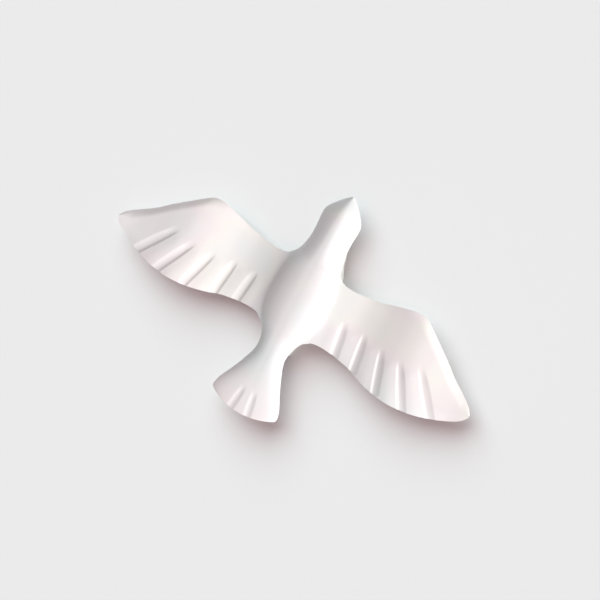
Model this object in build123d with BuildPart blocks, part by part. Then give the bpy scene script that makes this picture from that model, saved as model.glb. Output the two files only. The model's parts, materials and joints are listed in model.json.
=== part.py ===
from build123d import *
import math
import os

os.makedirs("parts", exist_ok=True)

# A white bird decoy with flapping wings. Millimetres, +X to the beak, +Y to the
# left wing tip, +Z up. The origin is the mouth of the stake socket, in the flat
# of the belly.

# --- the bird ---------------------------------------------------------------
beak_x = 169.0            # tip of the beak
tail_x = -163.0           # middle of the tail's end
tail_half = 51.0          # half the tail's width
root_front_x = 60.0       # where the wings' leading edges meet the body
root_rear_x = -33.0       # where the trailing edges meet it
flank_gap = 2.0           # from the back's flank out to the hinge line
ridge_h = 25.0            # the back above the skins' lower edge
wing_tip_y = 280.5
edge_z = 34.0             # lower edge of the skins, above the flat of the belly
skin_t = 1.5
root_gap = 4.0            # from the hinge line out to the wing skin

# --- wing drive -------------------------------------------------------------
tooth_module = 1.0
pinion_teeth = 18
sector_teeth = 48
backlash = 0.12           # taken off each tooth's thickness
gear_w = 5.0
gear_x = 40.0             # rear face of all the gears
axis_z = 28.0             # hinge pins and pinions
swing_up = 30.0
swing_down = 20.0
pin_r = 1.5
run_gap = 0.05            # radial clearance of what turns on a pin
hub_r = 4.5
hub_rear_x = -3.5
end_play = 0.5
lug_t = 4.0

# --- pan and chassis --------------------------------------------------------
pan_wall = 2.0
pan_inset = 1.8           # the pan's rim inside the skin's outline
pan_draft = 1.2           # from the rim in to the knee of the pan's side
bottom_in = 4.7           # from the rim in to the edge of the flat bottom
plate_z = 10.0
plate_t = 2.5
rail_gap = 2.0            # from the side rails out to the pan's wall
rail_t = 2.5
wall_t = 3.0
wall_top_z = 44.0
screw_r = 1.25

# --- gear motor -------------------------------------------------------------
servo_l = 28.5
servo_w = 29.0
servo_h = 13.0
servo_front_x = 37.0
servo_overhang = 7.0      # case beyond the shaft's centre
ear_l = 4.5
ear_t = 2.5
ear_back = 12.5           # front face of the case to the ears' rear face
shaft_r = 2.5

# --- battery, switch, stake -------------------------------------------------
cell_r = 5.25
cell_l = 44.5
cell_gap = 0.4
holder_wall = 1.8
holder_gap = 1.0          # from the stake socket's flange to the battery holder
door_t = 1.8
door_gap = 0.3
door_pin_r = 0.8
door_knuckle = 0.9        # wall of the door's knuckle round its pin
stake_r = 4.85            # bore for a 3/8 inch stake
stake_depth = 30.0
socket_wall = 2.15
flange_w = 2.5
switch_x = 20.0
switch_travel = 3.0

# --- wires ------------------------------------------------------------------
spar_r = 1.6
clip_half = 4.0

# Worked out from the sizes above.
pinion_r = pinion_teeth * tooth_module / 2
sector_r = sector_teeth * tooth_module / 2
hinge_y = 2 * pinion_r + sector_r
gear_front_x = gear_x + gear_w
front_x = gear_front_x + 3.5              # rear face of the front bulkhead
hub_front_x = front_x - end_play
chassis_front_x = front_x + lug_t
chassis_rear_x = hub_rear_x - end_play - lug_t
pinion_pitch = 360 / pinion_teeth
sector_pitch = 360 / sector_teeth
floor_z = pan_wall
body_half = hinge_y - flank_gap           # half the back's width between the wings
pan_half = body_half - pan_inset
rail_y = pan_half - pan_wall - pan_draft - rail_gap
socket_r = stake_r + socket_wall
holder_front_x = -(socket_r + flange_w + holder_gap)


def across_x(x, y=0.0, z=0.0):
    """A plane facing the beak, its own axes along +Y and +Z."""
    return Plane(origin=(x, y, z), x_dir=(0, 1, 0), z_dir=(1, 0, 0))


# --- gears ------------------------------------------------------------------
def tooth(teeth, centre_angle):
    """Points of one involute tooth about the origin, anticlockwise."""
    pitch_r = teeth * tooth_module / 2
    base_r = pitch_r * math.cos(math.radians(20))
    tip_r = pitch_r + tooth_module
    root_r = pitch_r - 1.25 * tooth_module
    half = math.pi / (2 * teeth) - backlash / (2 * pitch_r)
    flank_start = max(base_r, root_r)

    def half_angle(r):
        pressure = math.acos(min(1.0, base_r / r))
        rise = math.tan(pressure) - pressure
        pitch_rise = math.tan(math.radians(20)) - math.radians(20)
        return half + pitch_rise - rise

    steps = 5
    radii = [flank_start + (tip_r - flank_start) * i / steps for i in range(steps + 1)]
    lower = [(r, -half_angle(r)) for r in radii]
    upper = [(r, half_angle(r)) for r in reversed(radii)]
    feet = half_angle(flank_start)
    if root_r < flank_start:
        lower.insert(0, (root_r, -feet))
        upper.append((root_r, feet))
    turn = math.radians(centre_angle)
    return [(r * math.cos(a + turn), r * math.sin(a + turn)) for r, a in lower + upper]


def pinion(label, y, first_angle, bore_r):
    """A whole pinion on an axis along X."""
    outline = []
    for k in range(pinion_teeth):
        outline += tooth(pinion_teeth, first_angle + k * pinion_pitch)
    with BuildPart() as gear:
        with BuildSketch(across_x(gear_x, y, axis_z)):
            with BuildLine():
                Polyline(*outline, close=True)
            make_face()
            Circle(bore_r, mode=Mode.SUBTRACT)
        extrude(amount=gear_w)
    gear.part.label = label
    return gear.part


# --- wing arms: quadrant, hinge tube and root plate in one moulding ----------
def sector_arm(side, first_angle, above, below):
    """side is 1 for the left wing and -1 for the right. Angles are upward from inboard."""
    outline = []
    for k in range(-below, above):
        outline += tooth(sector_teeth, first_angle + k * sector_pitch)
    neck_r = hub_r + 3
    low = math.atan2(outline[0][1], outline[0][0])
    high = math.atan2(outline[-1][1], outline[-1][0])
    outline += [
        (neck_r * math.cos(high / 2), neck_r * math.sin(high / 2)),
        (0, 0),
        (neck_r * math.cos(low / 2), neck_r * math.sin(low / 2)),
    ]
    outline = [(-side * inboard, up) for inboard, up in outline]
    plate_z0 = axis_z - 3.0
    with BuildPart() as arm:
        with BuildSketch(across_x(gear_x, side * hinge_y, axis_z)):
            with BuildLine():
                Polyline(*outline, close=True)
            make_face()
        extrude(amount=gear_w)
        # Hinge tube.
        with BuildSketch(Plane.YZ.offset(hub_rear_x)):
            with Locations((side * hinge_y, axis_z)):
                Circle(hub_r)
        extrude(amount=hub_front_x - hub_rear_x)
        # Root plate under the wing skin, with a socket for each wire.
        with BuildSketch(Plane.XY.offset(plate_z0)):
            with BuildLine():
                Polyline(
                    (hub_front_x, side * hinge_y),
                    (hub_front_x, side * (hinge_y + 10)),
                    (hub_front_x - 4, side * (hinge_y + 22)),
                    (hub_rear_x + 4, side * (hinge_y + 22)),
                    (hub_rear_x, side * (hinge_y + 10)),
                    (hub_rear_x, side * hinge_y),
                    close=True,
                )
            make_face()
        extrude(amount=2.5)
        for x in (front_spar_x, rear_spar_x):
            with BuildSketch(Plane.XZ.offset(-side * (hinge_y + 2))):
                with Locations((x, axis_z)):
                    Circle(spar_r + 1.8)
            extrude(amount=-side * 20)
        for x in (front_spar_x, rear_spar_x):
            with BuildSketch(Plane.XZ.offset(-side * (hinge_y + 6))):
                with Locations((x, axis_z)):
                    Circle(spar_r)
            extrude(amount=-side * 20, mode=Mode.SUBTRACT)
        # Bore for the hinge pin.
        with BuildSketch(Plane.YZ.offset(hub_rear_x)):
            with Locations((side * hinge_y, axis_z)):
                Circle(pin_r + run_gap)
        extrude(amount=hub_front_x - hub_rear_x, mode=Mode.SUBTRACT)
    arm.part.label = "left_sector_arm" if side > 0 else "right_sector_arm"
    return arm.part


# --- wing skins -------------------------------------------------------------
# Stations out along the wing: share of the span, leading and trailing edge,
# height of the leading edge, the middle and the trailing edge over edge_z.
wing_stations = [
    (0.000, 58.0, -30.5, 4.0, 4.4, 3.0),
    (0.060, 58.5, -30.3, 2.2, 2.6, 1.5),
    (0.210, 62.0, -35.0, 0.0, 0.5, -0.5),
    (0.400, 74.0, -47.0, 6.0, 6.8, 3.5),
    (0.560, 71.5, -51.0, 7.5, 11.5, 6.5),
    (0.660, 54.5, -49.3, 4.5, 9.5, 5.0),
    (0.790, 30.0, -42.0, 1.0, 5.0, 2.0),
    (0.915, 8.0, -30.0, -1.0, 2.0, 0.5),
    (0.980, -3.5, -19.5, -0.5, 0.8, 0.2),
    (1.000, -9.5, -14.0, -0.2, 0.2, 0.0),
]
skin_root_y = hinge_y + root_gap


def wing_sheet(side, thickness, drop=0.0):
    """The wing's own surface, thickened downwards from drop below its top."""
    with BuildPart() as sheet:
        for share, lead, trail, lead_h, mid_h, trail_h in wing_stations:
            y = skin_root_y + share * (wing_tip_y - skin_root_y)
            chord = lead - trail
            base = edge_z + skin_t - drop
            top = [
                (lead, base + lead_h),
                (lead - 0.33 * chord, base + mid_h),
                (lead - 0.66 * chord, base + mid_h - 0.2 * (mid_h - trail_h)),
                (trail, base + trail_h),
            ]
            under = [(x, z - thickness) for x, z in reversed(top)]
            with BuildSketch(Plane.XZ.offset(-side * y)):
                with BuildLine():
                    Spline(*top)
                    Line(top[-1], under[0])
                    Spline(*under)
                    Line(under[-1], top[0])
                make_face()
        loft()
    return sheet.part


# --- wires under the wings --------------------------------------------------
front_spar_x = 35.0
rear_spar_x = 6.0
spar_bend_y = 95.0
spar_runs = {
    "front": [(front_spar_x, hinge_y + 6, axis_z), (front_spar_x + 4, spar_bend_y, axis_z + 0.5),
              (front_spar_x + 10, 165.0, axis_z + 11.5)],
    "rear": [(rear_spar_x, hinge_y + 6, axis_z), (rear_spar_x - 5, spar_bend_y, axis_z + 0.5),
             (rear_spar_x - 14, 150.0, axis_z + 9.0)],
}
clip_shares = (0.55, 0.9)


def spar(side, run, label):
    points = [(x, side * y, z) for x, y, z in spar_runs[run]]
    straight_end = (points[0][0], side * (hinge_y + 30), axis_z)
    with BuildPart() as wire:
        with BuildLine() as path:
            FilletPolyline(points[0], straight_end, points[1], points[2], radius=60)
        with BuildSketch(Plane(origin=path.line @ 0, z_dir=path.line % 0)):
            Circle(spar_r)
        sweep()
    wire.part.label = label
    return wire.part


def spar_clips(side, wires, label):
    """Saddles that hold each wire up against the underside of the skin."""
    below_skin = wing_sheet(side, 14.0, drop=skin_t)
    with BuildPart() as clips:
        for run in ("front", "rear"):
            start, bend, end = spar_runs[run]
            places = [bend] + [
                tuple(bend[i] + share * (end[i] - bend[i]) for i in range(3)) for share in clip_shares
            ]
            for x, y, z in places:
                with BuildSketch(Plane.XY.offset(z - spar_r - 1.2)):
                    with Locations((x, side * y)):
                        RectangleRounded(2 * clip_half, 2 * clip_half, 1.5)
                extrude(amount=12)
        add(below_skin, mode=Mode.INTERSECT)
        for wire in wires:
            add(wire, mode=Mode.SUBTRACT)
    clips.part.label = label
    return clips.part


# --- back skin: head, back and tail in one formed shell ----------------------
# Stations from the beak to the tail: place, half width, height and how far the
# section is a roof with a sharp ridge instead of a rounded back.
nose_l = beak_x - root_front_x
rear_l = root_rear_x - tail_x
skin_stations = [
    (beak_x - 0.4, 1.2, 3.0, 1.0),
    (root_front_x + 0.920 * nose_l, 11.5, 8.8, 1.0),
    (root_front_x + 0.810 * nose_l, 22.0, 13.2, 1.0),
    (root_front_x + 0.640 * nose_l, 29.0, 16.5, 0.9),
    (root_front_x + 0.370 * nose_l, 28.0, 19.5, 0.6),
    (root_front_x + 0.180 * nose_l, 31.5, 22.0, 0.4),
    (root_front_x + 0.020 * nose_l, body_half - 0.5, ridge_h, 0.2),
    ((root_front_x + root_rear_x) / 2, body_half, ridge_h + 1, 0.1),
    (root_rear_x, body_half - 1.5, ridge_h - 2, 0.1),
    (root_rear_x - 0.070 * rear_l, 30.5, 21.8, 0.1),
    (root_rear_x - 0.150 * rear_l, 25.5, 20.0, 0.1),
    (root_rear_x - 0.285 * rear_l, 22.5, 17.0, 0.1),
    (root_rear_x - 0.515 * rear_l, 0.63 * tail_half, 14.0, 0.1),
    (root_rear_x - 0.860 * rear_l, tail_half, 10.3, 0.1),
    (root_rear_x - 1.030 * rear_l, tail_half + 1, 8.5, 0.1),
]


def body_sheet(inset, first):
    """The whole body's outer form, or what is inset inside it."""
    with BuildPart() as form:
        for x, half, high, roof in skin_stations[first:]:
            w = half - inset
            h = high - inset
            mid = (w * (0.707 - 0.15 * roof), edge_z + h * (0.707 - 0.17 * roof))
            flank = Vector(-0.45 * roof * w, h)
            crown = Vector(-w, 0.7 * roof * h)
            with BuildSketch(Plane.YZ.offset(x)):
                with BuildLine():
                    Spline((w, edge_z), mid, (0, edge_z + h), tangents=[flank, crown])
                    Spline(
                        (0, edge_z + h), (-mid[0], mid[1]), (-w, edge_z),
                        tangents=[Vector(-w, -0.7 * roof * h), Vector(-0.45 * roof * w, -h)],
                    )
                    if inset:
                        Polyline((-w, edge_z), (-w, edge_z - 1), (w, edge_z - 1), (w, edge_z))
                    else:
                        Line((-w, edge_z), (w, edge_z))
                make_face()
        loft(ruled=True)
    return form.part


tail_corner_x = tail_x + 11.0
with BuildPart() as back_skin:
    add(body_sheet(0.0, 0))
    add(body_sheet(skin_t, 1), mode=Mode.SUBTRACT)
    # The tail ends in an arc.
    with BuildSketch(Plane.XY):
        with BuildLine():
            ThreePointArc((tail_corner_x, -tail_half + 4), (tail_x, 0), (tail_corner_x, tail_half - 4))
            Polyline(
                (tail_corner_x, tail_half - 4), (tail_corner_x + 4, tail_half + 6), (tail_x - 20, tail_half + 6),
                (tail_x - 20, -tail_half - 6), (tail_corner_x + 4, -tail_half - 6),
                (tail_corner_x, -tail_half + 4),
            )
        make_face()
    extrude(amount=edge_z + ridge_h, mode=Mode.SUBTRACT)
back_skin.part.label = "back_skin"
export_step(back_skin.part, "parts/back_skin.step")

# --- belly pan --------------------------------------------------------------
# Stations: place, half width at the rim, half width of the bottom, its height.
holder_rear_x = holder_front_x - cell_l - 5.0
door_hinge_x = holder_rear_x
flat_rear_x = door_hinge_x - 4.0
pan_stations = [
    (root_front_x + 60.0, 12.0, 6.0, 27.0),
    (root_front_x + 52.0, 21.0, 12.0, 16.0),
    (root_front_x + 28.0, 26.5, 19.0, 0.0),
    (root_front_x + 20.0, 29.0 - pan_inset / 2, 21.0, 0.0),
    (root_front_x + 4.0, pan_half - 2.5, pan_half - bottom_in - 4.5, 0.0),
    (root_front_x - 4.0, pan_half, pan_half - bottom_in, 0.0),
    (root_rear_x + 22.0, pan_half, pan_half - bottom_in, 0.0),
    (root_rear_x, pan_half - 1.5, pan_half - bottom_in - 4.5, 0.0),
    (root_rear_x - 0.07 * rear_l, 30.5 - pan_inset, 22.0, 0.0),
    (root_rear_x - 0.15 * rear_l, 25.5 - pan_inset, 19.0, 0.0),
    (flat_rear_x, 22.5 - pan_inset, 17.5, 0.0),
    (flat_rear_x - 12.0, 13.0, 7.0, 27.0),
]


def pan_form(inset, over):
    with BuildPart() as form:
        last = len(pan_stations) - 1
        for i, (x, rim, flat, bottom) in enumerate(pan_stations):
            shift = -inset if i == 0 else inset if i == last else 0
            lift = inset * (2 if bottom else 1)
            knee = bottom + (edge_z - bottom) * 0.36
            with BuildSketch(Plane.YZ.offset(x + shift)):
                with BuildLine():
                    Polyline(
                        (rim - inset, edge_z + over), (rim - inset - pan_draft, knee + inset),
                        (flat - inset, bottom + lift), (inset - flat, bottom + lift),
                        (inset + pan_draft - rim, knee + inset), (inset - rim, edge_z + over), close=True,
                    )
                make_face()
        loft(ruled=True)
    return form.part


cell_pitch = 2 * cell_r + cell_gap
holder_half = cell_pitch + holder_wall
holder_z = floor_z + 2.2
holder_h = 2 * cell_pitch + holder_wall + 0.6
door_half = cell_pitch - 0.2
door_front_x = holder_front_x - holder_wall
door_pin_z = door_pin_r + door_knuckle
post_y = rail_y - rail_t - 5.0
post_places = [(x, s * post_y) for x in (14.0, 32.0) for s in (1, -1)]
board_x = root_front_x + 12.0
board_posts = [(board_x - 9, 10.0), (board_x - 9, -10.0), (board_x + 9, 10.0), (board_x + 9, -10.0)]
board_z = 12.0
nub_l = 3.0

with BuildPart() as belly_pan:
    add(pan_form(0.0, 0.0))
    add(pan_form(pan_wall, 2.0), mode=Mode.SUBTRACT)
    # Cut-down flanks beside the hinge tubes, deeper where the quadrants pass.
    for side in (1, -1):
        with BuildSketch(Plane.XY.offset(axis_z - hub_r - 2.5)):
            with Locations(((chassis_rear_x + chassis_front_x) / 2, side * (rail_y + 5.2))):
                Rectangle(chassis_front_x - chassis_rear_x + 3, 10)
        extrude(amount=20, mode=Mode.SUBTRACT)
        with BuildSketch(Plane.XY.offset(axis_z - 16)):
            with Locations((gear_x + gear_w / 2, side * (rail_y + 2))):
                Rectangle(gear_w + 3, 16)
        extrude(amount=20, mode=Mode.SUBTRACT)
    # Posts for the chassis and the board.
    with BuildSketch(Plane.XY.offset(floor_z)):
        with Locations(*post_places):
            Circle(3.2)
    extrude(amount=plate_z - floor_z)
    with BuildSketch(Plane.XY.offset(floor_z)):
        with Locations(*board_posts):
            Circle(2.0)
    extrude(amount=board_z - floor_z)
    # Coaming that carries the battery holder.
    with BuildSketch(Plane.XY.offset(floor_z)):
        with Locations((door_front_x + 0.9, 0)):
            Rectangle(1.8, 2 * holder_half)
        for side in (1, -1):
            with Locations(((door_front_x + door_hinge_x) / 2, side * (holder_half - 0.9))):
                Rectangle(door_front_x - door_hinge_x, 1.8)
    extrude(amount=holder_z - floor_z)
    # Ears for the door's pin.
    for side in (1, -1):
        with BuildSketch(Plane.XY):
            with Locations((door_hinge_x, side * (door_half + 2.0))):
                Rectangle(4.4, 3.4)
        extrude(amount=holder_z)
    # Door opening, stake hole, switch slot.
    with BuildSketch(Plane.XY.offset(-1)):
        with BuildLine():
            Polyline(
                (door_front_x, door_half + door_gap), (door_hinge_x - door_pin_r - 1.1, door_half + door_gap),
                (door_hinge_x - door_pin_r - 1.1, -door_half - door_gap), (door_front_x, -door_half - door_gap),
                close=True,
            )
        make_face()
        Circle(socket_r + run_gap)
        with Locations((switch_x + switch_travel / 2, 0)):
            Rectangle(nub_l + switch_travel + 1, 4.0)
    extrude(amount=floor_z + 1, mode=Mode.SUBTRACT)
    with BuildSketch(Plane.XZ.offset(-holder_half - 3)):
        with Locations((door_hinge_x, door_pin_z)):
            Circle(door_pin_r)
    extrude(amount=2 * holder_half + 6, mode=Mode.SUBTRACT)
    with Locations(*[(x, y, plate_z) for x, y in post_places]):
        Hole(screw_r, plate_z - floor_z)
belly_pan.part.label = "belly_pan"
export_step(belly_pan.part, "parts/belly_pan.step")

# --- chassis ----------------------------------------------------------------
servo_mid_y = pinion_r + servo_overhang - servo_w / 2
ear_x = servo_front_x - ear_back
with BuildPart() as chassis:
    # Base plate, round the stake socket.
    with BuildSketch(Plane.XY.offset(plate_z)):
        with Locations(((chassis_rear_x + chassis_front_x) / 2, 0)):
            Rectangle(chassis_front_x - chassis_rear_x, 2 * rail_y)
        Circle(socket_r + 0.3, mode=Mode.SUBTRACT)
    extrude(amount=plate_t)
    # Side rails.
    for side in (1, -1):
        with BuildSketch(Plane.XY.offset(plate_z)):
            with Locations(((chassis_rear_x + chassis_front_x) / 2, side * (rail_y - rail_t / 2))):
                Rectangle(chassis_front_x - chassis_rear_x, rail_t)
        extrude(amount=edge_z - 1 - plate_z)
    # Front bulkhead and the wall that holds the gear motor.
    for x, thick in ((front_x, lug_t), (ear_x - wall_t, wall_t)):
        with BuildSketch(Plane.YZ.offset(x)):
            with BuildLine():
                Polyline(
                    (-rail_y, plate_z), (rail_y, plate_z), (rail_y, edge_z - 1), (20, wall_top_z),
                    (-20, wall_top_z), (-rail_y, edge_z - 1), close=True,
                )
            make_face()
        extrude(amount=thick)
    # Window for the gear motor's case.
    with BuildSketch(Plane.YZ.offset(ear_x - wall_t)):
        with Locations((servo_mid_y, axis_z)):
            Rectangle(servo_w + 0.4, servo_h + 0.4)
    extrude(amount=wall_t, mode=Mode.SUBTRACT)
    # Hinge lugs outboard of the rails, front and rear.
    for side in (1, -1):
        for x in (front_x, chassis_rear_x):
            with BuildSketch(Plane.YZ.offset(x)):
                with Locations((side * hinge_y, axis_z)):
                    Circle(hub_r)
                with Locations((side * (rail_y + hinge_y) / 2, axis_z)):
                    Rectangle(hinge_y - rail_y + 2, 2 * hub_r)
            extrude(amount=lug_t)
    # Boss that spaces the idler off the bulkhead.
    with BuildSketch(Plane.YZ.offset(gear_front_x + 0.3)):
        with Locations((-pinion_r, axis_z)):
            Circle(3.5)
    extrude(amount=front_x - gear_front_x - 0.3)
    # Clearance for the quadrants.
    for side in (1, -1):
        with BuildSketch(Plane.XY.offset(plate_z - 1)):
            with Locations((gear_x + gear_w / 2, side * (hinge_y - sector_r / 2 - 0.5))):
                Rectangle(gear_w + 3, sector_r + 5)
        extrude(amount=edge_z, mode=Mode.SUBTRACT)
    # Bores: hinge pins, idler axle, screws.
    for side in (1, -1):
        with BuildSketch(Plane.YZ.offset(chassis_rear_x)):
            with Locations((side * hinge_y, axis_z)):
                Circle(pin_r)
        extrude(amount=chassis_front_x - chassis_rear_x, mode=Mode.SUBTRACT)
    with BuildSketch(Plane.YZ.offset(gear_front_x)):
        with Locations((-pinion_r, axis_z)):
            Circle(pin_r)
    extrude(amount=chassis_front_x - gear_front_x, mode=Mode.SUBTRACT)
    with BuildSketch(Plane.XY.offset(plate_z)):
        with Locations(*post_places):
            Circle(screw_r)
    extrude(amount=plate_t, mode=Mode.SUBTRACT)
    with BuildSketch(Plane.YZ.offset(ear_x - wall_t)):
        with Locations((servo_mid_y, axis_z)):
            with GridLocations(servo_w + ear_l, 1, 2, 1):
                Circle(1.0)
    extrude(amount=wall_t, mode=Mode.SUBTRACT)
chassis.part.label = "chassis"
export_step(chassis.part, "parts/chassis.step")


def screws(label, plane, places, head_r, head_t, shank_r, shank_l):
    """Pan-head screws with cross slots; the plane is where the heads seat."""
    with BuildPart() as group:
        with BuildSketch(plane):
            with Locations(*places):
                Circle(head_r)
        extrude(amount=head_t)
        with BuildSketch(plane.offset(head_t)):
            with Locations(*places):
                Rectangle(1.3 * head_r, 0.3 * head_r)
                Rectangle(0.3 * head_r, 1.3 * head_r)
        extrude(amount=-head_t / 2, mode=Mode.SUBTRACT)
        with BuildSketch(plane):
            with Locations(*places):
                Circle(shank_r)
        extrude(amount=-shank_l)
    group.part.label = label
    export_step(group.part, f"parts/{label}.step")


screws("chassis_screws", Plane.XY.offset(plate_z + plate_t), post_places, 2.4, 1.6, screw_r, 8.5)
ear_places = [(servo_mid_y + s * (servo_w + ear_l) / 2, axis_z) for s in (1, -1)]
screws("servo_screws", Plane.YZ.offset(ear_x + ear_t), ear_places, 1.9, 1.3, 1.0, ear_t + wall_t)

# --- gear motor -------------------------------------------------------------
with BuildPart() as servo_case:
    with BuildSketch(Plane.YZ.offset(servo_front_x - servo_l)):
        with Locations((servo_mid_y, axis_z)):
            RectangleRounded(servo_w, servo_h, 1.0)
    extrude(amount=servo_l)
    with BuildSketch(Plane.YZ.offset(ear_x)):
        with Locations((servo_mid_y, axis_z)):
            RectangleRounded(servo_w + 2 * ear_l, servo_h, 1.5)
    extrude(amount=ear_t)
    with BuildSketch(Plane.YZ.offset(servo_front_x)):
        with Locations((pinion_r, axis_z)):
            Circle(shaft_r + 2.0)
    extrude(amount=1.5)
    with BuildSketch(Plane.YZ.offset(servo_front_x - 8)):
        with Locations((pinion_r, axis_z)):
            Circle(shaft_r + run_gap)
    extrude(amount=9.5, mode=Mode.SUBTRACT)
    with BuildSketch(Plane.YZ.offset(ear_x)):
        with Locations(*ear_places):
            Circle(1.0)
    extrude(amount=ear_t, mode=Mode.SUBTRACT)
servo_case.part.label = "servo_case"
export_step(servo_case.part, "parts/servo_case.step")

with BuildPart() as output_shaft:
    with BuildSketch(Plane.YZ.offset(servo_front_x - 7.5)):
        with Locations((pinion_r, axis_z)):
            Circle(shaft_r)
    extrude(amount=gear_front_x - servo_front_x + 7.5)
    with BuildSketch(Plane.YZ.offset(gear_front_x)):
        with Locations((pinion_r, axis_z)):
            Circle(1.0)
    extrude(amount=-6, mode=Mode.SUBTRACT)
output_shaft.part.label = "output_shaft"
export_step(output_shaft.part, "parts/output_shaft.step")

screws("pinion_screw", Plane.YZ.offset(gear_front_x), [(pinion_r, axis_z)], 3.2, 1.6, 1.0, 6.0)

# --- gears and arms ---------------------------------------------------------
export_step(pinion("drive_pinion", pinion_r, 0.0, shaft_r), "parts/drive_pinion.step")
export_step(pinion("idler_pinion", -pinion_r, pinion_pitch / 2, pin_r + run_gap), "parts/idler_pinion.step")

above = math.ceil(swing_up / sector_pitch)
below = math.ceil(swing_down / sector_pitch)
# A tooth gap of the left quadrant faces its pinion, and a tooth of the right one.
left_arm = sector_arm(1, sector_pitch / 2, above + 1, below)
right_arm = sector_arm(-1, 0.0, above + 1, below)
export_step(left_arm, "parts/left_sector_arm.step")
export_step(right_arm, "parts/right_sector_arm.step")

# --- pins and clips ---------------------------------------------------------
clip_t = 0.8
for side, name in ((1, "left_hinge_pin"), (-1, "right_hinge_pin")):
    with BuildPart() as pin:
        with BuildSketch(Plane.YZ.offset(chassis_rear_x - clip_t - 1.0)):
            with Locations((side * hinge_y, axis_z)):
                Circle(pin_r)
        extrude(amount=chassis_front_x - chassis_rear_x + 2 * (clip_t + 1.0))
    pin.part.label = name
    export_step(pin.part, f"parts/{name}.step")

with BuildPart() as pin_clips:
    for x in (chassis_rear_x - clip_t - 0.1, chassis_front_x + 0.1):
        with BuildSketch(Plane.YZ.offset(x)):
            with Locations((hinge_y, axis_z), (-hinge_y, axis_z)):
                Circle(3.2)
                Circle(pin_r, mode=Mode.SUBTRACT)
        extrude(amount=clip_t)
pin_clips.part.label = "pin_clips"
export_step(pin_clips.part, "parts/pin_clips.step")

with BuildPart() as idler_axle:
    with BuildSketch(Plane.YZ.offset(gear_x - 2.2)):
        with Locations((-pinion_r, axis_z)):
            Circle(pin_r)
    extrude(amount=chassis_front_x - gear_x + 2.2)
idler_axle.part.label = "idler_axle"
export_step(idler_axle.part, "parts/idler_axle.step")

with BuildPart() as idler_clip:
    with BuildSketch(Plane.YZ.offset(gear_x - 0.3 - clip_t)):
        with Locations((-pinion_r, axis_z)):
            Circle(3.2)
            Circle(pin_r, mode=Mode.SUBTRACT)
    extrude(amount=clip_t)
idler_clip.part.label = "idler_clip"
export_step(idler_clip.part, "parts/idler_clip.step")

# --- wings: skins, wires, clips ---------------------------------------------
for side, name in ((1, "left"), (-1, "right")):
    skin = wing_sheet(side, skin_t)
    skin.label = f"{name}_wing_skin"
    export_step(skin, f"parts/{name}_wing_skin.step")
    front_wire = spar(side, "front", f"{name}_front_spar")
    rear_wire = spar(side, "rear", f"{name}_rear_spar")
    export_step(front_wire, f"parts/{name}_front_spar.step")
    export_step(rear_wire, f"parts/{name}_rear_spar.step")
    clips = spar_clips(side, (front_wire, rear_wire), f"{name}_spar_clips")
    export_step(clips, f"parts/{name}_spar_clips.step")

# --- stake socket -----------------------------------------------------------
with BuildPart() as stake_socket:
    with BuildSketch():
        Circle(socket_r)
    extrude(amount=stake_depth + 3)
    with BuildSketch(Plane.XY.offset(floor_z)):
        Circle(socket_r + flange_w)
    extrude(amount=2.2)
    with BuildSketch():
        Circle(stake_r)
    extrude(amount=stake_depth, mode=Mode.SUBTRACT)
stake_socket.part.label = "stake_socket"
export_step(stake_socket.part, "parts/stake_socket.step")

# --- batteries --------------------------------------------------------------
cell_rear_x = holder_front_x - holder_wall - 0.8 - cell_l
cell_places = [
    (s * cell_pitch / 2, holder_z + cell_r + 0.2 + k * cell_pitch) for s in (1, -1) for k in (0, 1)
]
with BuildPart() as battery_holder:
    with BuildSketch(Plane.XY.offset(holder_z)):
        with Locations(((holder_front_x + holder_rear_x) / 2, 0)):
            Rectangle(holder_front_x - holder_rear_x, 2 * holder_half)
    extrude(amount=holder_h)
    with BuildSketch(Plane.XY.offset(holder_z)):
        with Locations(((holder_front_x + holder_rear_x) / 2, 0)):
            Rectangle(holder_front_x - holder_rear_x - 2 * holder_wall, 2 * cell_pitch)
    extrude(amount=holder_h - holder_wall, mode=Mode.SUBTRACT)
battery_holder.part.label = "battery_holder"
export_step(battery_holder.part, "parts/battery_holder.step")

with BuildPart() as batteries:
    for y, z in cell_places:
        with BuildSketch(Plane.YZ.offset(cell_rear_x)):
            with Locations((y, z)):
                Circle(cell_r)
        extrude(amount=cell_l - 1.0)
        with BuildSketch(Plane.YZ.offset(cell_rear_x + cell_l - 1.0)):
            with Locations((y, z)):
                Circle(1.9)
        extrude(amount=1.0)
batteries.part.label = "batteries"
export_step(batteries.part, "parts/batteries.step")

contact_t = 0.5
with BuildPart() as battery_contacts:
    for x in (holder_rear_x + holder_wall, holder_front_x - holder_wall - contact_t):
        for y, z in cell_places:
            with BuildSketch(Plane.YZ.offset(x)):
                with Locations((y, z)):
                    Rectangle(7.0, 8.0)
            extrude(amount=contact_t)
battery_contacts.part.label = "battery_contacts"
export_step(battery_contacts.part, "parts/battery_contacts.step")

with BuildPart() as battery_door:
    with BuildSketch():
        with Locations(((door_front_x - door_gap + door_hinge_x) / 2, 0)):
            Rectangle(door_front_x - door_gap - door_hinge_x, 2 * door_half)
    extrude(amount=door_t)
    with BuildSketch(Plane.XZ.offset(-door_half)):
        with Locations((door_hinge_x, door_pin_z)):
            Circle(door_pin_r + door_knuckle)
    extrude(amount=2 * door_half)
    # Finger notch.
    with BuildSketch():
        with Locations((door_front_x - door_gap - 5, 0)):
            SlotOverall(12, 3, rotation=90)
    extrude(amount=0.8, mode=Mode.SUBTRACT)
    with BuildSketch(Plane.XZ.offset(-door_half)):
        with Locations((door_hinge_x, door_pin_z)):
            Circle(door_pin_r + run_gap)
    extrude(amount=2 * door_half, mode=Mode.SUBTRACT)
battery_door.part.label = "battery_door"
export_step(battery_door.part, "parts/battery_door.step")

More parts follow.
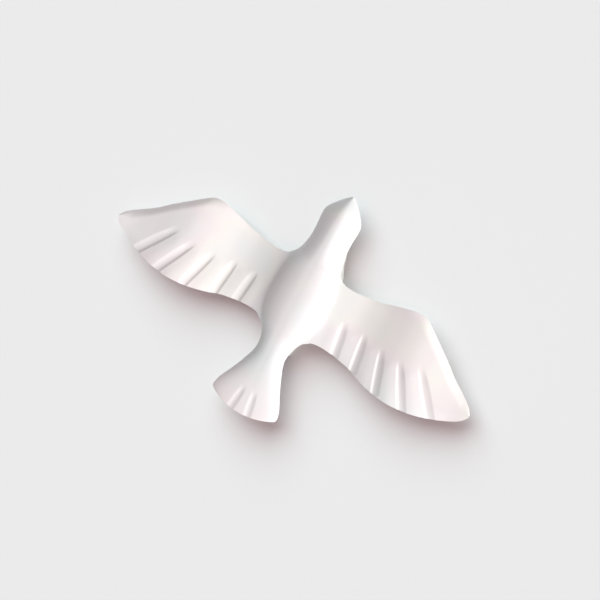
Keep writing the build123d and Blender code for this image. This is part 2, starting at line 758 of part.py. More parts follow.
with BuildPart() as door_pin:
    with BuildSketch(Plane.XZ.offset(-door_half - 3.4)):
        with Locations((door_hinge_x, door_pin_z)):
            Circle(door_pin_r)
    extrude(amount=2 * door_half + 6.8)
door_pin.part.label = "door_pin"
export_step(door_pin.part, "parts/door_pin.step")

# --- switch -----------------------------------------------------------------
slider_gap = 0.3
slider_l = nub_l + 3.0
switch_mid_x = switch_x + switch_travel / 2
with BuildPart() as switch_housing:
    with BuildSketch(Plane.XY.offset(floor_z)):
        with Locations((switch_mid_x, 0)):
            RectangleRounded(15.0, 9.0, 1.0)
    extrude(amount=6.0)
    with BuildSketch(Plane.XY.offset(floor_z)):
        with Locations((switch_mid_x, 0)):
            Rectangle(slider_l + switch_travel + 2 * slider_gap, 5.6)
    extrude(amount=3.0, mode=Mode.SUBTRACT)
switch_housing.part.label = "switch_housing"
export_step(switch_housing.part, "parts/switch_housing.step")

with BuildPart() as switch_slider:
    with BuildSketch(Plane.XY.offset(floor_z + slider_gap)):
        with Locations((switch_x, 0)):
            Rectangle(slider_l, 5.0)
    extrude(amount=2.0)
    with BuildSketch(Plane.XY.offset(0.4)):
        with Locations((switch_x, 0)):
            Rectangle(nub_l, 3.2)
    extrude(amount=floor_z)
switch_slider.part.label = "switch_slider"
export_step(switch_slider.part, "parts/switch_slider.step")

# --- control board ----------------------------------------------------------
with BuildPart() as control_board:
    with BuildSketch(Plane.XY.offset(board_z)):
        with Locations((board_x, 0)):
            RectangleRounded(24.0, 28.0, 1.5)
    extrude(amount=1.6)
    with BuildSketch(Plane.XY.offset(board_z + 1.6)):
        with Locations((board_x - 2, 3)):
            Rectangle(7, 7)
        with Locations((board_x + 8, 0)):
            Rectangle(4, 12)
    extrude(amount=1.8)
    with BuildSketch(Plane.XY.offset(board_z + 1.6)):
        with Locations((board_x - 3, -8), (board_x + 3, -8)):
            Circle(2.5)
    extrude(amount=6.0)
control_board.part.label = "control_board"
export_step(control_board.part, "parts/control_board.step")
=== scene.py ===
import json
import math

import bpy
import numpy as np
from mathutils import Matrix, Vector


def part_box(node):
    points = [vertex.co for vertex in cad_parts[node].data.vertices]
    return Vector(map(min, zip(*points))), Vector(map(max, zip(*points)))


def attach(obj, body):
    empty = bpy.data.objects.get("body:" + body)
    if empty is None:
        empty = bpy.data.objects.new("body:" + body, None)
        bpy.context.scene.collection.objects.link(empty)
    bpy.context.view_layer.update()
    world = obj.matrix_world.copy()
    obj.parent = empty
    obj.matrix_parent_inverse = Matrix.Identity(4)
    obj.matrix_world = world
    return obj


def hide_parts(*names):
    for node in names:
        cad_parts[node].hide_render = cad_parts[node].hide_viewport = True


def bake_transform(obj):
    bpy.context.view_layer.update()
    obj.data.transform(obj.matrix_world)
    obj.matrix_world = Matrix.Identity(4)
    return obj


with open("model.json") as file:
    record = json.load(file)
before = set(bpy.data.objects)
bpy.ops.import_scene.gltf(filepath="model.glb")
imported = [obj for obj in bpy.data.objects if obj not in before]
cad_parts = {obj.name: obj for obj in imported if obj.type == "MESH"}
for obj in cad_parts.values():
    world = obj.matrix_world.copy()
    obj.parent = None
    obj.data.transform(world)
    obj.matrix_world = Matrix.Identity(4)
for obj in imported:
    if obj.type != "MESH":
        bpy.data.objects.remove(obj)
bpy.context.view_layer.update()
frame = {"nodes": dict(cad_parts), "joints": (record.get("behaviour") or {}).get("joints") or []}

mm = 0.001
root = "decoy_body"


def deselectAll():
    for item in list(bpy.context.selected_objects):
        item.select_set(False)


deselectAll()
print("stage: frame loaded,", len(frame["nodes"]), "nodes")


class Wire:
    # a shader socket that takes part in plain expressions
    def __init__(self, finish, socket):
        self.finish = finish
        self.socket = socket

    def maths(self, operation, *others):
        return self.finish.node("ShaderNodeMath", {"operation": operation}, dict(enumerate(others)))[0]

    def __add__(self, other):
        return self.maths("ADD", self, other)

    def __mul__(self, other):
        return self.maths("MULTIPLY", self, other)

    def over(self, limit):
        return self.maths("GREATER_THAN", self, limit)


class Outputs:
    # the sockets of a node that was just made
    def __init__(self, finish, made):
        self.finish = finish
        self.made = made

    def __getitem__(self, key):
        return Wire(self.finish, self.made.outputs[key])


class Finish:
    # a material: settings of its main shader, and helpers that add nodes to it
    def __init__(self, name, settings):
        self.material = bpy.data.materials.new(name)
        self.material.use_nodes = True
        self.tree = self.material.node_tree
        self.shader = self.tree.nodes["Principled BSDF"]
        for key, value in settings.items():
            self.shader.inputs[key].default_value = value
        self.place = self.node("ShaderNodeTexCoord", {}, {})["Object"]

    def node(self, kind, settings, inputs):
        made = self.tree.nodes.new(kind)
        for key, value in settings.items():
            if key == "stops":
                ramp = made.color_ramp
                while len(ramp.elements) < len(value):
                    ramp.elements.new(0.5)
                for element, (position, colour) in zip(ramp.elements, value):
                    element.position = position
                    element.color = (*colour, 1)
            else:
                setattr(made, key, value)
        for key, value in inputs.items():
            if isinstance(value, Wire):
                self.tree.links.new(value.socket, made.inputs[key])
            else:
                made.inputs[key].default_value = value
        return Outputs(self, made)

    def noise(self, scale, detail=3.0, rough=0.5, where=None):
        inputs = {"Vector": where or self.place, "Scale": scale, "Detail": detail, "Roughness": rough}
        return self.node("ShaderNodeTexNoise", {}, inputs)["Fac"]

    def stretched(self, x, y, z):
        return self.node("ShaderNodeMapping", {}, {"Vector": self.place, "Scale": (x, y, z)})["Vector"]

    def ramp(self, value, *stops):
        return self.node("ShaderNodeValToRGB", {"stops": stops}, {0: value})["Color"]

    def range(self, value, low, high, outLow=0.0, outHigh=1.0):
        made = self.node("ShaderNodeMapRange", {}, {0: value, 1: low, 2: high, 3: outLow, 4: outHigh})
        return made["Result"]

    def mix(self, share, first, second):
        pair = {0: share, 6: first, 7: second}
        for key in (6, 7):
            if isinstance(pair[key], tuple):
                pair[key] = (*pair[key], 1)
        return self.node("ShaderNodeMix", {"data_type": "RGBA"}, pair)[2]

    def attribute(self, name):
        return self.node("ShaderNodeAttribute", {"attribute_name": name}, {})["Fac"]

    def set(self, wires):
        for key, wire in wires.items():
            self.tree.links.new(wire.socket, self.shader.inputs[key])

    def bump(self, height, strength, distance):
        made = self.node("ShaderNodeBump", {}, {"Strength": strength, "Distance": distance, "Height": height})
        self.tree.links.new(made["Normal"].socket, self.shader.inputs["Normal"])
        return self.material


def pearlSkin():
    # formed pearl-white sheet: faint pink, cream and sea-green clouds in the pigment
    finish = Finish("pearlSkin", {"Roughness": 0.42, "Coat Weight": 0.12, "Coat Roughness": 0.3})
    cloud = finish.noise(11.0, 1.5, 0.4)
    clouds = [(0.30, (0.815, 0.838, 0.835)), (0.42, (0.853, 0.836, 0.836)), (0.52, (0.866, 0.815, 0.822)),
              (0.62, (0.862, 0.850, 0.812)), (0.72, (0.820, 0.838, 0.828))]
    # painted light: the wings and the tail get a paler, pinker copy of the clouds, which brightens them
    # beyond the back
    paintedLightGain = (1.112, 1.070, 1.066)
    paintedLitClouds = [(place, tuple(c * g for c, g in zip(colour, paintedLightGain))) for place, colour in clouds]
    where = finish.node("ShaderNodeSeparateXYZ", {}, {0: finish.place})
    outboard = finish.range(where["Y"].maths("ABSOLUTE", where["Y"]), 44 * mm, 74 * mm)
    aft = finish.range(where["X"], -80 * mm, -125 * mm)
    paintedLightShare = outboard.maths("MAXIMUM", outboard, aft)
    tint = finish.mix(paintedLightShare, finish.ramp(cloud, *clouds), finish.ramp(cloud, *paintedLitClouds))
    speck = finish.range(finish.noise(900.0, 2.0), 0.62, 0.75)
    pigment = finish.mix(speck * 0.25, tint, (0.93, 0.92, 0.91))
    # painted shade: where the sheet is pressed into grooves its colour is darkened towards a mauve grey
    pressed = finish.attribute("pressed")
    colour = finish.mix(pressed * 0.12, pigment, (0.62, 0.56, 0.56))
    rough = finish.range(finish.noise(60.0, 3.0), 0.3, 0.7, 0.38, 0.47)
    finish.set({"Base Color": colour, "Roughness": rough})
    return finish.bump(finish.noise(700.0, 3.0, 0.6) * 0.6 + finish.noise(90.0, 2.0) * 0.4, 0.12, 0.0006)


def mouldedPlastic(name, colour, rough, grain=1400.0, depth=0.10):
    # spark-textured moulding with slight shade drift and scuffs
    finish = Finish(name, {"Roughness": rough})
    drift = finish.noise(25.0, 2.0)
    darker = tuple(0.82 * c for c in colour)
    lighter = tuple(min(1.0, 1.12 * c + 0.01) for c in colour)
    tone = finish.mix(finish.range(drift, 0.35, 0.65), darker, lighter)
    scuff = finish.range(finish.noise(260.0, 4.0, 0.6, finish.stretched(0.35, 1.6, 1.0)), 0.64, 0.72)
    tone = finish.mix(scuff * 0.22, tone, tuple(0.5 * c + 0.35 for c in colour))
    finish.set({"Base Color": tone, "Roughness": finish.range(drift, 0.3, 0.7, rough - 0.06, rough + 0.08)})
    return finish.bump(finish.noise(grain, 3.0, 0.6), depth, 0.0004)


def turnedSteel(name, colour, rough, along, lines=900.0):
    # drawn or ground metal: fine lines round or along the piece
    finish = Finish(name, {"Metallic": 1.0, "Roughness": rough})
    grain = finish.noise(lines, 2.0, 0.5, finish.stretched(*along))
    patches = finish.noise(120.0, 3.0)
    tone = finish.mix(finish.range(patches, 0.4, 0.7) * 0.5, colour, tuple(0.72 * c for c in colour))
    finish.set({"Base Color": tone, "Roughness": finish.range(grain, 0.3, 0.7, rough - 0.08, rough + 0.12)})
    return finish.bump(grain, 0.08, 0.0002)


def boardLaminate():
    # solder-masked laminate with tracks of copper showing faintly through
    finish = Finish("boardLaminate", {"Roughness": 0.35, "Coat Weight": 0.3})
    cells = finish.node("ShaderNodeTexBrick", {"offset": 0.5}, {
        "Vector": finish.place, "Scale": 260.0, "Mortar Size": 0.05, "Color1": (0, 0, 0, 1),
        "Color2": (0, 0, 0, 1), "Mortar": (1, 1, 1, 1)})["Color"]
    tone = finish.mix(cells, (0.015, 0.10, 0.035), (0.035, 0.19, 0.075))
    finish.set({"Base Color": tone})
    return finish.bump(cells, 0.15, 0.0002)


def cellWrap():
    # printed sleeve: a plain band of metal colour at one end
    finish = Finish("cellWrap", {"Roughness": 0.3, "Coat Weight": 0.5})
    sleeve = 33 * mm
    split = finish.node("ShaderNodeSeparateXYZ", {}, {0: finish.place})["X"]
    band = split.over(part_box("batteries")[0][0] + sleeve)
    tone = finish.mix(band, (0.03, 0.14, 0.07), (0.55, 0.36, 0.10))
    smear = finish.noise(300.0, 2.0, 0.5, finish.stretched(0.2, 1, 1))
    finish.set({"Base Color": tone, "Roughness": finish.range(smear, 0.3, 0.7, 0.24, 0.4)})
    return finish.bump(smear, 0.05, 0.0002)


finishes = {
    "pearl": pearlSkin(),
    "pan": mouldedPlastic("panPlastic", (0.66, 0.65, 0.62), 0.5),
    "frame": mouldedPlastic("frameBlack", (0.025, 0.026, 0.028), 0.45),
    "motor": mouldedPlastic("motorCase", (0.012, 0.016, 0.035), 0.38, 2000.0, 0.06),
    "acetal": mouldedPlastic("acetal", (0.70, 0.68, 0.60), 0.32, 600.0, 0.05),
    "nylon": mouldedPlastic("clipNylon", (0.66, 0.66, 0.63), 0.4, 800.0, 0.06),
    "holder": mouldedPlastic("holderBlack", (0.015, 0.015, 0.016), 0.5),
    "slider": mouldedPlastic("sliderRed", (0.36, 0.025, 0.02), 0.4, 900.0, 0.06),
    "ground": turnedSteel("groundSteel", (0.62, 0.62, 0.63), 0.25, (1, 6, 6)),
    "zinc": turnedSteel("zincPlate", (0.60, 0.60, 0.58), 0.34, (4, 4, 1)),
    "spring": turnedSteel("springSteel", (0.20, 0.19, 0.18), 0.35, (1, 4, 4)),
    "wire": turnedSteel("drawnWire", (0.50, 0.50, 0.51), 0.3, (6, 1, 6)),
    "nickel": turnedSteel("nickelPlate", (0.66, 0.62, 0.52), 0.28, (1, 5, 1)),
    "board": boardLaminate(),
    "cell": cellWrap(),
}
worn = {
    "pan": ["belly_pan", "battery_door"],
    "frame": ["chassis", "stake_socket"],
    "motor": ["servo_case"],
    "acetal": ["drive_pinion", "idler_pinion", "left_sector_arm", "right_sector_arm"],
    "nylon": ["left_spar_clips", "right_spar_clips"],
    "holder": ["battery_holder", "switch_housing"],
    "slider": ["switch_slider"],
    "ground": ["output_shaft", "idler_axle", "left_hinge_pin", "right_hinge_pin", "door_pin"],
    "zinc": ["chassis_screws", "servo_screws", "pinion_screw"],
    "spring": ["idler_clip", "pin_clips"],
    "wire": ["left_front_spar", "right_front_spar", "left_rear_spar", "right_rear_spar"],
    "nickel": ["battery_contacts"],
    "board": ["control_board"],
    "cell": ["batteries"],
}


def dress(item, material):
    item.data.materials.clear()
    item.data.materials.append(material)


for finishName, nodeNames in worn.items():
    for nodeName in nodeNames:
        dress(frame["nodes"][nodeName], finishes[finishName])
print("stage: finishes made")


def throughPoints(points, soft=0.0):
    # a smooth curve through the points, never past them; soft rounds it further
    xs, ys = (np.array(v, float) for v in zip(*sorted(points)))
    gaps, rises = np.diff(xs), np.diff(ys)
    slopes = rises / gaps
    tangents = np.concatenate([slopes[:1], np.zeros(len(xs) - 2), slopes[-1:]])
    for i in range(1, len(xs) - 1):
        if slopes[i - 1] * slopes[i] > 0:
            a, b = 2 * gaps[i] + gaps[i - 1], gaps[i] + 2 * gaps[i - 1]
            tangents[i] = (a + b) / (a / slopes[i - 1] + b / slopes[i])

    def at(x):
        x = np.clip(np.asarray(x, float), xs[0], xs[-1])
        i = np.clip(np.searchsorted(xs, x) - 1, 0, len(xs) - 2)
        h = gaps[i]
        s = (x - xs[i]) / h
        return ((1 + 2 * s) * (1 - s) ** 2 * ys[i] + s * (1 - s) ** 2 * h * tangents[i]
                + s * s * (3 - 2 * s) * ys[i + 1] + s * s * (s - 1) * h * tangents[i + 1])

    if not soft:
        return at
    fine = 0.25
    grid = np.arange(xs[0], xs[-1] + fine, fine)
    reach = int(3 * soft / fine)
    weights = np.exp(-0.5 * (np.arange(-reach, reach + 1) * fine / soft) ** 2)
    before = xs[0] - np.arange(reach, 0, -1) * fine
    after = grid[-1] + np.arange(1, reach + 1) * fine
    padded = at(np.concatenate([before, grid, after]))
    smooth = np.convolve(padded, weights / weights.sum(), "valid")
    return lambda x: np.interp(x, grid, smooth)


def step(value, low, high):
    # 0 below low, 1 above high, and an S between them
    s = np.clip((value - low) / (high - low), 0, 1)
    return s * s * (3 - 2 * s)


# The skin's form, in millimetres of the row frame.

backLow, backHigh = (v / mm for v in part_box("back_skin"))
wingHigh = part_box("left_wing_skin")[1] / mm
hinge = next(j for j in frame["joints"] if j["name"] == "left_flap")
hingeY = hinge["pos_m"][1] / mm

skin = {
    "thick": 1.5,
    "edge": backLow[2],            # under side of the skin's rim
    "beak": backHigh[0],
    "tail": backLow[0],
    "tip": wingHigh[1],
    "seam": hingeY,                # valley between the back and the wing
    "rootFront": 62.5,
    "rootRear": -32.5,
    "bend": (1.5, 20.0),           # a band outboard of the valley; the script reads it but bends nothing with it
    "lap": 0.8,                    # the wing's root runs this far in under the valley
    "backReach": (75.0, 50.0),     # the back's hollow lifts the wing: not at all here, wholly there
    "rimEase": 0.4,
    "rimSegments": 2,
    "smoothUnder": math.radians(50),
}

wing = {
    "lead": [(42, 62.5), (46, 60.4), (50, 59.2), (56, 58.4), (62, 58.3), (80, 59.7), (100, 63), (120, 68.7),
             (140, 74.3), (152, 77), (160, 77.6), (166, 76.8), (172, 74.6), (180, 69.3), (200, 54.3),
             (220, 39), (240, 22.3), (260, 9), (270, 1.9), (276, -3.2), (279, -7.3), (280.5, -11)],
    "trail": [(42, -32.5), (47, -31), (52, -30.4), (60, -30.3), (80, -32.5), (100, -35.8), (120, -42.5),
              (140, -47.5), (160, -50.5), (180, -51), (200, -49.3), (220, -45.3), (240, -38.8), (260, -30),
              (270, -24.5), (276, -19.3), (279, -15.5), (280.5, -12)],
    # height over the rim along the span: dips past the valley, crests at the wrist, droops to the tip
    "arch": [(0, 5.6), (30, 5.4), (42, 4.8), (55, 3.2), (70, 1.3), (88, 0.0), (110, 1.9), (135, 6.9),
             (160, 11.3), (176, 12.4), (200, 10.2), (230, 5.4), (260, 1.4), (281, 0.4)],
    "leadCurl": [(40, 0.4), (145, 0.9), (170, 6.5), (200, 8.5), (250, 8.0), (281, 5.5)],
    "trailCurl": [(40, 0.6), (70, 1.6), (180, 2.2), (240, 2.0), (281, 1.0)],
    "curlWidth": 15.0,
    "curlShare": 0.45,             # no curl is wider than this share of the chord
    "leadPower": 2.2,
    "trailPower": 2.0,
    "fullChord": 45.0,             # where the wing is narrower than this, the curls shrink
    "rearDrop": 0.22,              # the rear of the wing is this much flatter
    "rearFrom": 0.35,
    # pressed feather grooves: inner end and outer end, (y, x)
    "grooves": [((189, 18), (233, -41)), ((160, 13), (195, -51)), ((131, 14), (151, -47)),
                ((101, 19), (109, -37)), ((69, 19), (76, -32))],
    "grooveDepth": 1.9,
    "grooveHalf": 8.0,
    "groovePower": 1.2,
    "grooveFade": 7.0,
    "grooveLean": 0.5,             # how much steeper the inboard wall is
    # rounded lobes between the grooves, and one between the last groove and the body
    "lobe": 0.9,
    "lobeHalf": 15.0,
    "lobeFade": 22.0,
    "lobeFrom": (50, 70),
    "innerLine": ((44, 16), (44, -28)),
    "across": 260,
    "along": 130,
    "gather": 1.45,                # the grid's columns gather towards the tip
}

# half width of the head and of the tail, (x, half)
headOutline = [(169, 1.2), (167, 3.9), (164, 7.4), (160, 11.5), (155, 16.3), (150, 20.5), (145, 24.4),
               (140, 27.4), (134, 28.9), (128, 29), (120, 28.4), (110, 27.9), (100, 28)]
tailOutline = [(-70, 22.5), (-80, 24.3), (-90, 28), (-100, 32), (-120, 40.7), (-130, 45.2), (-142, 49.2),
               (-153.5, 51), (-160, 50), (-163, 47)]

back = {
    "half": headOutline + [(90, 29.2), (80, 31.4), (74, 33.4), (70, 35.3), (66, 38.6),
                           (62.5, 42), (-32.5, 42), (-37, 36), (-40, 32.3), (-45, 28.8),
                           (-50, 26.5), (-60, 23.5)] + tailOutline,
    "ridge": [(169, 3.2), (165, 6.6), (160, 10.2), (150, 16.6), (140, 19.6), (130, 20.8), (115, 21.4),
              (100, 22.0), (80, 23.8), (60, 25.4), (30, 26.5), (0, 26.2), (-20, 24.6), (-40, 22),
              (-55, 19.0), (-70, 16.2), (-85, 15.3), (-100, 13.9), (-120, 12.1), (-145, 10.2),
              (-163, 8.6)],
    # half width of the raised back itself, which runs clear of the wings' corners
    "raised": headOutline + [(90, 29.1), (80, 31), (70, 33.8), (60, 36.6), (50, 38.9),
                             (40, 40.3), (25, 41.5), (10, 41.9), (-5, 41.2), (-15, 39.3),
                             (-25, 36), (-33, 32.6), (-40, 29.8), (-45, 27.9),
                             (-50, 26.1), (-60, 23.4)] + tailOutline,
    # how the section falls from the ridge: near 1 it starts as a roof, near 2 as a rounded back,
    # and "steep" is the share that comes as a steep flank low down
    "fall": [(169, 1.2), (130, 1.3), (100, 1.4), (80, 1.55), (60, 1.7), (-60, 1.75), (-100, 1.8),
             (-163, 1.9)],
    "steep": [(169, 0.18), (130, 0.22), (60, 0.30), (-30, 0.36), (-70, 0.42), (-163, 0.46)],
    "steepPower": 6,
    "hollow": 7.0,                 # rounding where the flank meets the wing
    "hollowRun": 10.0,             # and how far it lasts ahead of and behind the wing
    "footRun": 9.0,                # the wing's height under the back dies out over this
    "leastHollow": 0.02,
    # rounding of the ridge
    "crown": [(169, 1.2), (150, 3.0), (130, 4.4), (100, 5.0), (60, 5.0), (-163, 5.0)],
    "grooves": [((8, -124), (14, -167)), ((-8, -124), (-14, -167))],
    "grooveDepth": 1.1,
    "grooveHalf": 5.5,
    "grooveFade": 14.0,
    "bow": 11.0,                   # the tail's rear edge bows forward by this at its corners
    "bowFrom": -100.0,
    "across": 72,
    "along": 210,
    "gather": 1.12,                # the grid's rows gather towards the beak
}

# shares of a groove's length and width: it starts narrow and shallow at its inner end
groove = {"startWidth": 0.7, "widensOver": 0.6, "deepensOver": 0.32}

leadAt = throughPoints(wing["lead"], 1.5)
trailAt = throughPoints(wing["trail"], 1.5)
archAt = throughPoints(wing["arch"], 5.0)
leadCurlAt = throughPoints(wing["leadCurl"], 5.0)
trailCurlAt = throughPoints(wing["trailCurl"], 5.0)
halfAt = throughPoints(back["half"])
raisedAt = throughPoints(back["raised"], 2.0)
ridgeAt = throughPoints(back["ridge"], 3.0)
fallAt = throughPoints(back["fall"], 5.0)
steepAt = throughPoints(back["steep"], 5.0)
crownAt = throughPoints(back["crown"], 3.0)


def groovePress(x, y, ends, half, run, lean=0.0):
    # a channel that widens and deepens on its way out to the trailing edge;
    # lean makes its inboard wall steeper than the outboard one
    (y0, x0), (y1, x1) = ends
    length = math.hypot(x1 - x0, y1 - y0)
    ux, uy = (x1 - x0) / length, (y1 - y0) / length
    along = (x - x0) * ux + (y - y0) * uy
    off = (x - x0) * uy - (y - y0) * ux
    over = np.maximum(0, along - length) / run
    start = groove["startWidth"]
    wide = half * (start + (1 - start) * step(along, 0, groove["widensOver"] * length))
    wide = wide * np.where(off < 0, 1 - lean, 1 + 0.5 * lean)
    depth = step(along, 0, groove["deepensOver"] * length)
    return depth * np.clip(1 - (off / wide) ** 2 - over ** 2, 0, 1)


def wingForm(x, y):
    # height of the top of the wing over the rim's under side, and how far it is pressed in
    leastChord = 0.5
    lead, trail = leadAt(y), trailAt(y)
    chord = np.maximum(lead - trail, leastChord)
    room = np.clip(chord / wing["fullChord"], 0, 1)
    width = np.minimum(wing["curlWidth"], chord * wing["curlShare"])
    front = np.clip((lead - x) / width, 0, 1)
    rear = np.clip((x - trail) / width, 0, 1)
    share = (lead - x) / chord
    z = skin["thick"] + archAt(y) * (1 - wing["rearDrop"] * step(share, wing["rearFrom"], 1.0))
    z = z - leadCurlAt(y) * room ** 0.5 * (1 - front) ** wing["leadPower"]
    z = z - trailCurlAt(y) * room * (1 - rear) ** wing["trailPower"]
    pressed = np.zeros_like(z)
    for ends in wing["grooves"]:
        channel = groovePress(x, y, ends, wing["grooveHalf"], wing["grooveFade"], wing["grooveLean"])
        pressed = np.maximum(pressed, channel)
    lobe = np.zeros_like(z)
    for a, b in zip(wing["grooves"], wing["grooves"][1:] + [wing["innerLine"]]):
        middle = [((a[i][0] + b[i][0]) / 2, (a[i][1] + b[i][1]) / 2) for i in (0, 1)]
        lobe = lobe + groovePress(x, y, middle, wing["lobeHalf"], wing["lobeFade"]) ** 2
    z = z - wing["grooveDepth"] * pressed ** wing["groovePower"]
    z = z + wing["lobe"] * lobe * step(y, *wing["lobeFrom"])
    return z, pressed


def overBack(x, y, level):
    # lays the raised back over the given level, with a soft hollow where they meet
    beside = np.clip(x, skin["rootRear"], skin["rootFront"])
    away = np.abs(x - beside)
    foot = skin["thick"] + (level - skin["thick"]) * np.exp(-((away / back["footRun"]) ** 2))
    outward = np.minimum(np.abs(y) / raisedAt(x), 3)
    rounded = crownAt(x) / raisedAt(x)
    eased = (np.sqrt(outward ** 2 + rounded ** 2) - rounded) / (np.sqrt(1 + rounded ** 2) - rounded)
    steep = steepAt(x)
    fallen = (1 - steep) * eased ** fallAt(x) + steep * eased ** back["steepPower"]
    raised = (ridgeAt(x) - foot) * (1 - fallen)
    soft = back["hollow"] * np.exp(-((away / back["hollowRun"]) ** 2)) + back["leastHollow"]
    return foot + 0.5 * (raised + np.sqrt(raised ** 2 + soft ** 2))


def backForm(x, y):
    beside = np.clip(x, skin["rootRear"], skin["rootFront"])
    z = overBack(x, y, wingForm(beside, np.abs(y))[0])
    pressed = np.zeros_like(z)
    for ends in back["grooves"]:
        pressed = np.maximum(pressed, groovePress(x, y, ends, back["grooveHalf"], back["grooveFade"]))
    return z - back["grooveDepth"] * pressed, pressed


# Each skin is a grid, drawn out to the outline, pressed to form and given its wall.

def gridOf(name, columns, rows):
    deselectAll()
    bpy.ops.mesh.primitive_grid_add(x_subdivisions=columns, y_subdivisions=rows, size=2)
    piece = bpy.context.active_object
    piece.name = piece.data.name = name
    flat = np.empty(len(piece.data.vertices) * 3)
    piece.data.vertices.foreach_get("co", flat)
    flat = flat.reshape(-1, 3)
    return piece, flat[:, 0], flat[:, 1]


def rimWeights(piece):
    # the open rim is eased, but not where the wing and the back meet
    sharp, near = 0.5, 1.0
    seamRear, seamFront = skin["rootRear"] - 0.1, skin["rootFront"] + 0.1
    data = piece.data
    count = len(data.edges)
    ends = np.empty(count * 2, int)
    data.edges.foreach_get("vertices", ends)
    ends = ends.reshape(-1, 2)
    places = np.empty(len(data.vertices) * 3)
    data.vertices.foreach_get("co", places)
    places = places.reshape(-1, 3) / mm
    faces = [[] for _ in range(count)]
    key = {tuple(sorted(pair)): i for i, pair in enumerate(ends.tolist())}
    for face in data.polygons:
        for pair in face.edge_keys:
            faces[key[pair]].append(face.index)
    weights = np.zeros(count, np.float32)
    for i, (a, b) in enumerate(ends):
        if len(faces[i]) == 2:
            first, second = (data.polygons[f].normal for f in faces[i])
            middle = (places[a] + places[b]) / 2
            atSeam = abs(abs(middle[1]) - skin["seam"]) < near and seamRear < middle[0] < seamFront
            if first.dot(second) < sharp and not atSeam:
                weights[i] = 1
    layer = data.attributes.new("bevel_weight_edge", "FLOAT", "EDGE")
    layer.data.foreach_set("value", weights)


def pressSkin(piece, x, y, z, pressed, flip):
    points = np.stack([x, y, z + skin["edge"]], 1) * mm
    piece.data.vertices.foreach_set("co", points.ravel())
    layer = piece.data.attributes.new("pressed", "FLOAT", "POINT")
    layer.data.foreach_set("value", pressed.astype(np.float32))
    if flip:
        bpy.ops.object.mode_set(mode="EDIT")
        bpy.ops.mesh.select_all(action="SELECT")
        bpy.ops.mesh.flip_normals()
        bpy.ops.object.mode_set(mode="OBJECT")
    wall = piece.modifiers.new("wall", "SOLIDIFY")
    wall.thickness = skin["thick"] * mm
    wall.offset = -1
    bpy.ops.object.modifier_apply(modifier="wall")
    rimWeights(piece)
    rim = piece.modifiers.new("rim", "BEVEL")
    rim.width = skin["rimEase"] * mm
    rim.segments = skin["rimSegments"]
    rim.limit_method = "WEIGHT"
    bpy.ops.object.modifier_apply(modifier="rim")
    bpy.ops.object.shade_smooth_by_angle(angle=skin["smoothUnder"])
    dress(piece, finishes["pearl"])
    return piece


def makeWing(side, name):
    piece, u, v = gridOf(name, wing["across"], wing["along"])
    out = 1 - ((1 - u) / 2) ** wing["gather"]
    inner = skin["seam"] - skin["lap"]
    y = inner + (skin["tip"] - inner) * out
    formY = np.maximum(y, skin["seam"])
    lead, trail = leadAt(formY), trailAt(formY)
    x = lead + (trail - lead) * (1 - v) / 2
    z, pressed = wingForm(x, formY)
    z = z + (overBack(x, formY, z) - z) * step(formY, *skin["backReach"])
    return pressSkin(piece, x, side * y, z, pressed, side > 0)


def makeBack():
    piece, u, v = gridOf("backSkin", back["along"], back["across"])
    run = ((1 - u) / 2) ** back["gather"]   # 0 at the beak, 1 at the tail
    middleX = skin["beak"] + (skin["tail"] - skin["beak"]) * run
    bow = back["bow"] * np.clip((back["bowFrom"] - middleX) / (back["bowFrom"] - skin["tail"]), 0, 1) ** 2
    y = halfAt(middleX) * v
    x = middleX + bow * v * v
    z, pressed = backForm(middleX, y)
    return pressSkin(piece, x, y, z, pressed, False)


backSkin = makeBack()
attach(backSkin, root)
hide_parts("back_skin")
print("stage: back skin,", len(backSkin.data.polygons), "faces")

for side, word in ((1, "left"), (-1, "right")):
    wingSkin = makeWing(side, word + "WingSkin")
    first, last = (side * (skin["seam"] + d) * mm for d in skin["bend"])
    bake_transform(wingSkin)
    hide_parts(word + "_wing_skin")
    print("stage:", word, "wing skin,", len(wingSkin.data.polygons), "faces")


view = {
    "turn": math.radians(29.0),            # the bird's heading, clockwise from straight up in the view
    "tilt": math.radians(15.5),            # the camera leans this far to the right of straight above
    "target": Vector((11.4, -0.6, skin["edge"])) * mm,
    "distance": 4.5,
    "across": 0.8104,
}
rightFlat = Vector((math.sin(view["turn"]), -math.cos(view["turn"]), 0))
upFlat = Vector((math.cos(view["turn"]), math.sin(view["turn"]), 0))
skyward = Vector((0, 0, 1))
toCamera = skyward * math.cos(view["tilt"]) + rightFlat * math.sin(view["tilt"])
toRight = rightFlat * math.cos(view["tilt"]) - skyward * math.sin(view["tilt"])

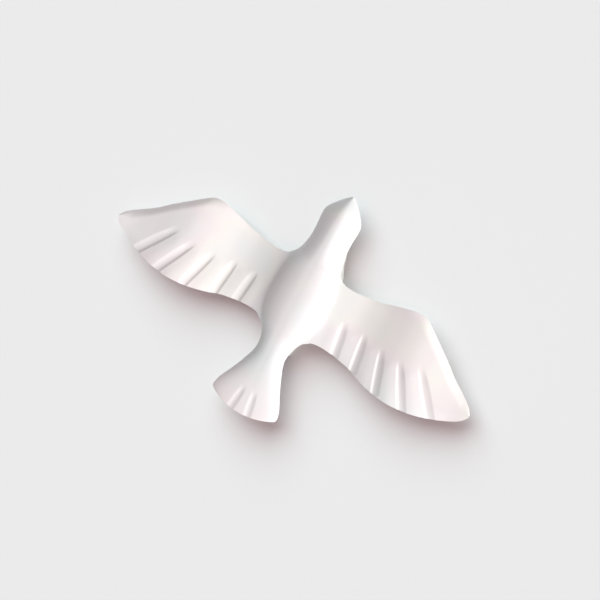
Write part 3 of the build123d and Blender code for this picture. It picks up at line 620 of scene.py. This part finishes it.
deselectAll()
bpy.ops.mesh.primitive_plane_add(size=12)
floor = bpy.context.active_object
floor.name = "floor"
floorFinish = Finish("floorCard", {"Roughness": 0.9, "Specular IOR Level": 0.0})
cardTone = floorFinish.mix(floorFinish.noise(3.0, 1.0), (0.80, 0.80, 0.80), (0.802, 0.801, 0.80))
floorFinish.set({"Base Color": cardTone})
dress(floor, floorFinish.material)

cameraData = bpy.data.cameras.new("camera")
cameraData.lens = 36 * view["distance"] / view["across"]
cameraData.clip_end = 50
camera = bpy.data.objects.new("camera", cameraData)
bpy.context.scene.collection.objects.link(camera)
camera.matrix_world = Matrix.Translation(view["target"] + toCamera * view["distance"]) @ Matrix(
    (toRight, upFlat, toCamera)).transposed().to_4x4()
bpy.context.scene.camera = camera


def lightGroup(name, members):
    group = bpy.data.collections.new(name)
    for member in members:
        group.objects.link(member)
    return group


def sun(name, fromDirection, strength, colour, spread, onto):
    data = bpy.data.lights.new(name, "SUN")
    data.energy = strength
    data.color = colour
    data.angle = math.radians(spread)
    lamp = bpy.data.objects.new(name, data)
    bpy.context.scene.collection.objects.link(lamp)
    lamp.matrix_world = fromDirection.to_track_quat("Z", "Y").to_matrix().to_4x4()
    lamp.light_linking.receiver_collection = onto
    return lamp


def fromSky(bearing, height):
    # bearing in the view, anticlockwise from its right; height above the floor
    b, h = math.radians(bearing), math.radians(height)
    return (rightFlat * math.cos(b) + upFlat * math.sin(b)) * math.cos(h) + skyward * math.sin(h)


onFloor = lightGroup("onFloor", [floor])
meshes = [item for item in bpy.context.scene.objects if item.type == "MESH"]
onBird = lightGroup("onBird", [item for item in meshes if item is not floor])
sun("floorKey", fromSky(97, 48), strength=2.96, colour=(0.840, 1.0, 1.0), spread=62, onto=onFloor)
floorFill = sun("floorFill", skyward, strength=0.34, colour=(1.0, 0.0, 0.03), spread=60, onto=onFloor)
floorFill.data.use_shadow = False
sun("sideKey", fromSky(-32, 35), strength=3.12, colour=(1.0, 1.0, 1.0), spread=60, onto=onBird)
world = bpy.data.worlds.new("studio")
world.use_nodes = True
sky = world.node_tree.nodes["Background"]
sky.inputs["Color"].default_value = (1.0, 0.975, 0.985, 1)
sky.inputs["Strength"].default_value = 0.345
bpy.context.scene.world = world
bpy.context.scene.view_settings.view_transform = "Standard"
print("stage: floor, light and camera")
